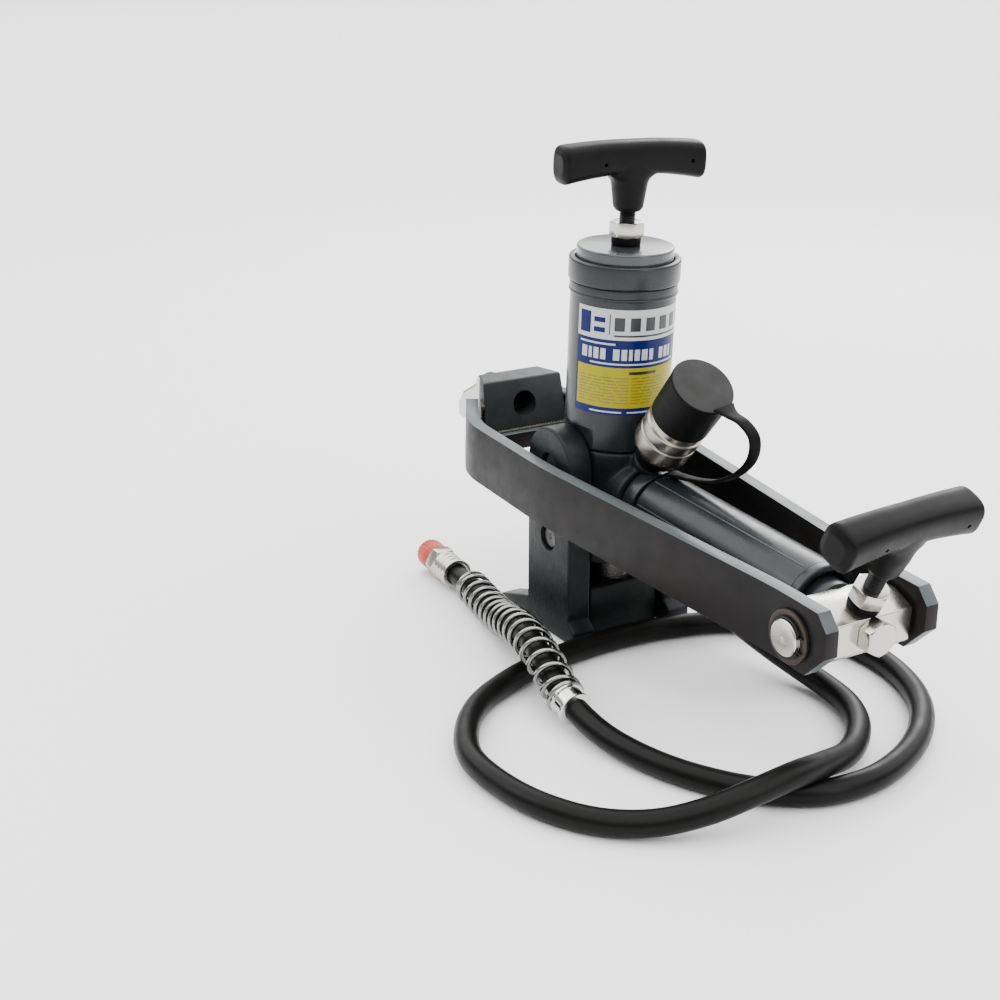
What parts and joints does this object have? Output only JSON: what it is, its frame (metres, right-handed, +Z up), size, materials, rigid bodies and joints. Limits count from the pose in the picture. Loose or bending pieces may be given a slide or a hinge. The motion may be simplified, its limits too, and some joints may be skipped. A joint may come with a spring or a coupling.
{
  "type": "bead breaker",
  "caption": "Hydraulic bead breaker: a claw yoke closed by a clamping cylinder, an upright cylinder with a push foot between two legs, T-handles and a hydraulic hose.",
  "frame": {"origin": "centre of the push foot's flat underside, on the ground under the upright cylinder", "axes": "+X along the clamping cylinder from the claw to the trunnion block, +Y across the tool, +Z up; both cylinders lean 2.8 degrees about Y and the legs stand square"},
  "size_m": [0.4559, 0.3063, 0.3287],
  "materials": {
    "slate_paint": "satin slate grey enamel over cast and turned steel, slightly worn on the edges",
    "charcoal_paint": "satin charcoal enamel over flame-cut plate, with a faint brown cast",
    "zinc_plate": "bright zinc plate, slightly yellowish",
    "hard_chrome": "polished hard chrome",
    "satin_nickel": "satin nickel plate, slightly warm",
    "black_plastic": "matte moulded thermoplastic, fine grain",
    "black_oxide": "black oxide on a threaded stud",
    "black_rubber": "semi-matte black rubber",
    "spring_steel": "bright wound spring steel",
    "orange_plastic": "matte orange moulded cap"
  },
  "bodies": {
    "root": {"body_casting": "slate_paint", "yoke_rest_bar": "slate_paint", "main_cylinder_tube": "slate_paint", "main_cylinder_collar": "slate_paint", "main_cylinder_lid": "slate_paint", "lid_seal": "black_rubber", "main_gland": "satin_nickel", "main_rod_wiper": "black_rubber", "main_return_spring": "spring_steel", "clamp_cylinder_tube": "slate_paint", "clamp_front_ring": "slate_paint", "clamp_rod_wiper": "black_rubber", "clamp_return_spring": "spring_steel", "top_handle_grip": "black_plastic", "top_handle_stud": "black_oxide", "top_handle_washer": "black_rubber", "top_handle_lock_nut": "zinc_plate", "coupler_nipple": "satin_nickel", "coupler_strap_ring": "black_rubber", "cap_strap": "black_rubber", "leg_near": "charcoal_paint", "leg_far": "charcoal_paint", "leg_upper_pin_near": "satin_nickel", "leg_upper_pin_far": "satin_nickel", "leg_lower_pin_near": "satin_nickel", "leg_lower_pin_far": "satin_nickel", "hydraulic_hose": "black_rubber", "hose_guard_collar": "hard_chrome", "hose_spring_guard": "spring_steel", "hose_port_fitting": "zinc_plate", "hose_port_ferrule": "zinc_plate", "hose_end_ferrule": "zinc_plate", "hose_end_fitting": "zinc_plate", "hose_end_cap": "orange_plastic"},
    "main_ram": {"main_plunger": "hard_chrome", "push_foot": "slate_paint", "push_foot_pin": "satin_nickel"},
    "clamp_ram": {"clamp_plunger": "slate_paint", "trunnion_block": "zinc_plate", "clamp_bolt": "zinc_plate", "end_handle_grip": "black_plastic", "end_handle_stud": "black_oxide", "end_handle_washer": "black_rubber", "end_handle_lock_nut": "zinc_plate", "trunnion_washer_near": "charcoal_paint", "trunnion_washer_far": "charcoal_paint", "trunnion_circlip_near": "spring_steel", "trunnion_circlip_far": "spring_steel"},
    "yoke": {"yoke_plate_near": "charcoal_paint", "yoke_plate_far": "charcoal_paint", "yoke_rest_lug_near": "charcoal_paint", "yoke_rest_lug_far": "charcoal_paint", "claw_block": "slate_paint", "claw_cross_plate": "charcoal_paint"},
    "claw_screw_body": {"claw_screw": "satin_nickel"},
    "coupler_sleeve_body": {"coupler_sleeve": "satin_nickel"},
    "dust_cap_body": {"dust_cap": "black_rubber"}
  },
  "joints": [
    {"name": "main_ram_slide", "type": "slide", "parent": "root", "child": "main_ram", "axis": [-0.0489, 0, -0.9988], "range_m": [0, 0.055], "stiffness_N_per_m": 3000, "springref_m": -0.02, "deforming": ["main_return_spring"]},
    {"name": "clamp_ram_slide", "type": "slide", "parent": "root", "child": "clamp_ram", "axis": [0.9988, 0, -0.0489], "range_m": [0, 0.04], "stiffness_N_per_m": 3000, "springref_m": -0.02},
    {"name": "yoke_hinge", "type": "hinge", "parent": "clamp_ram", "child": "yoke", "pos_m": [0.2372, 0, 0.09052], "axis": [0, 1, 0], "range_deg": [0, 20]},
    {"name": "claw_screw_turn", "type": "hinge", "parent": "yoke", "child": "claw_screw_body", "pos_m": [-0.13392, 0, 0.1277], "axis": [0.9988, 0, -0.0489], "continuous": true},
    {"name": "coupler_sleeve_turn", "type": "hinge", "parent": "root", "child": "coupler_sleeve_body", "pos_m": [0.04221, 0, 0.12208], "axis": [0.6347, 0, 0.7727], "continuous": true},
    {"name": "dust_cap_pull", "type": "slide", "parent": "root", "child": "dust_cap_body", "axis": [0.6347, 0, 0.7727], "range_m": [0, 0.035]}
  ]
}
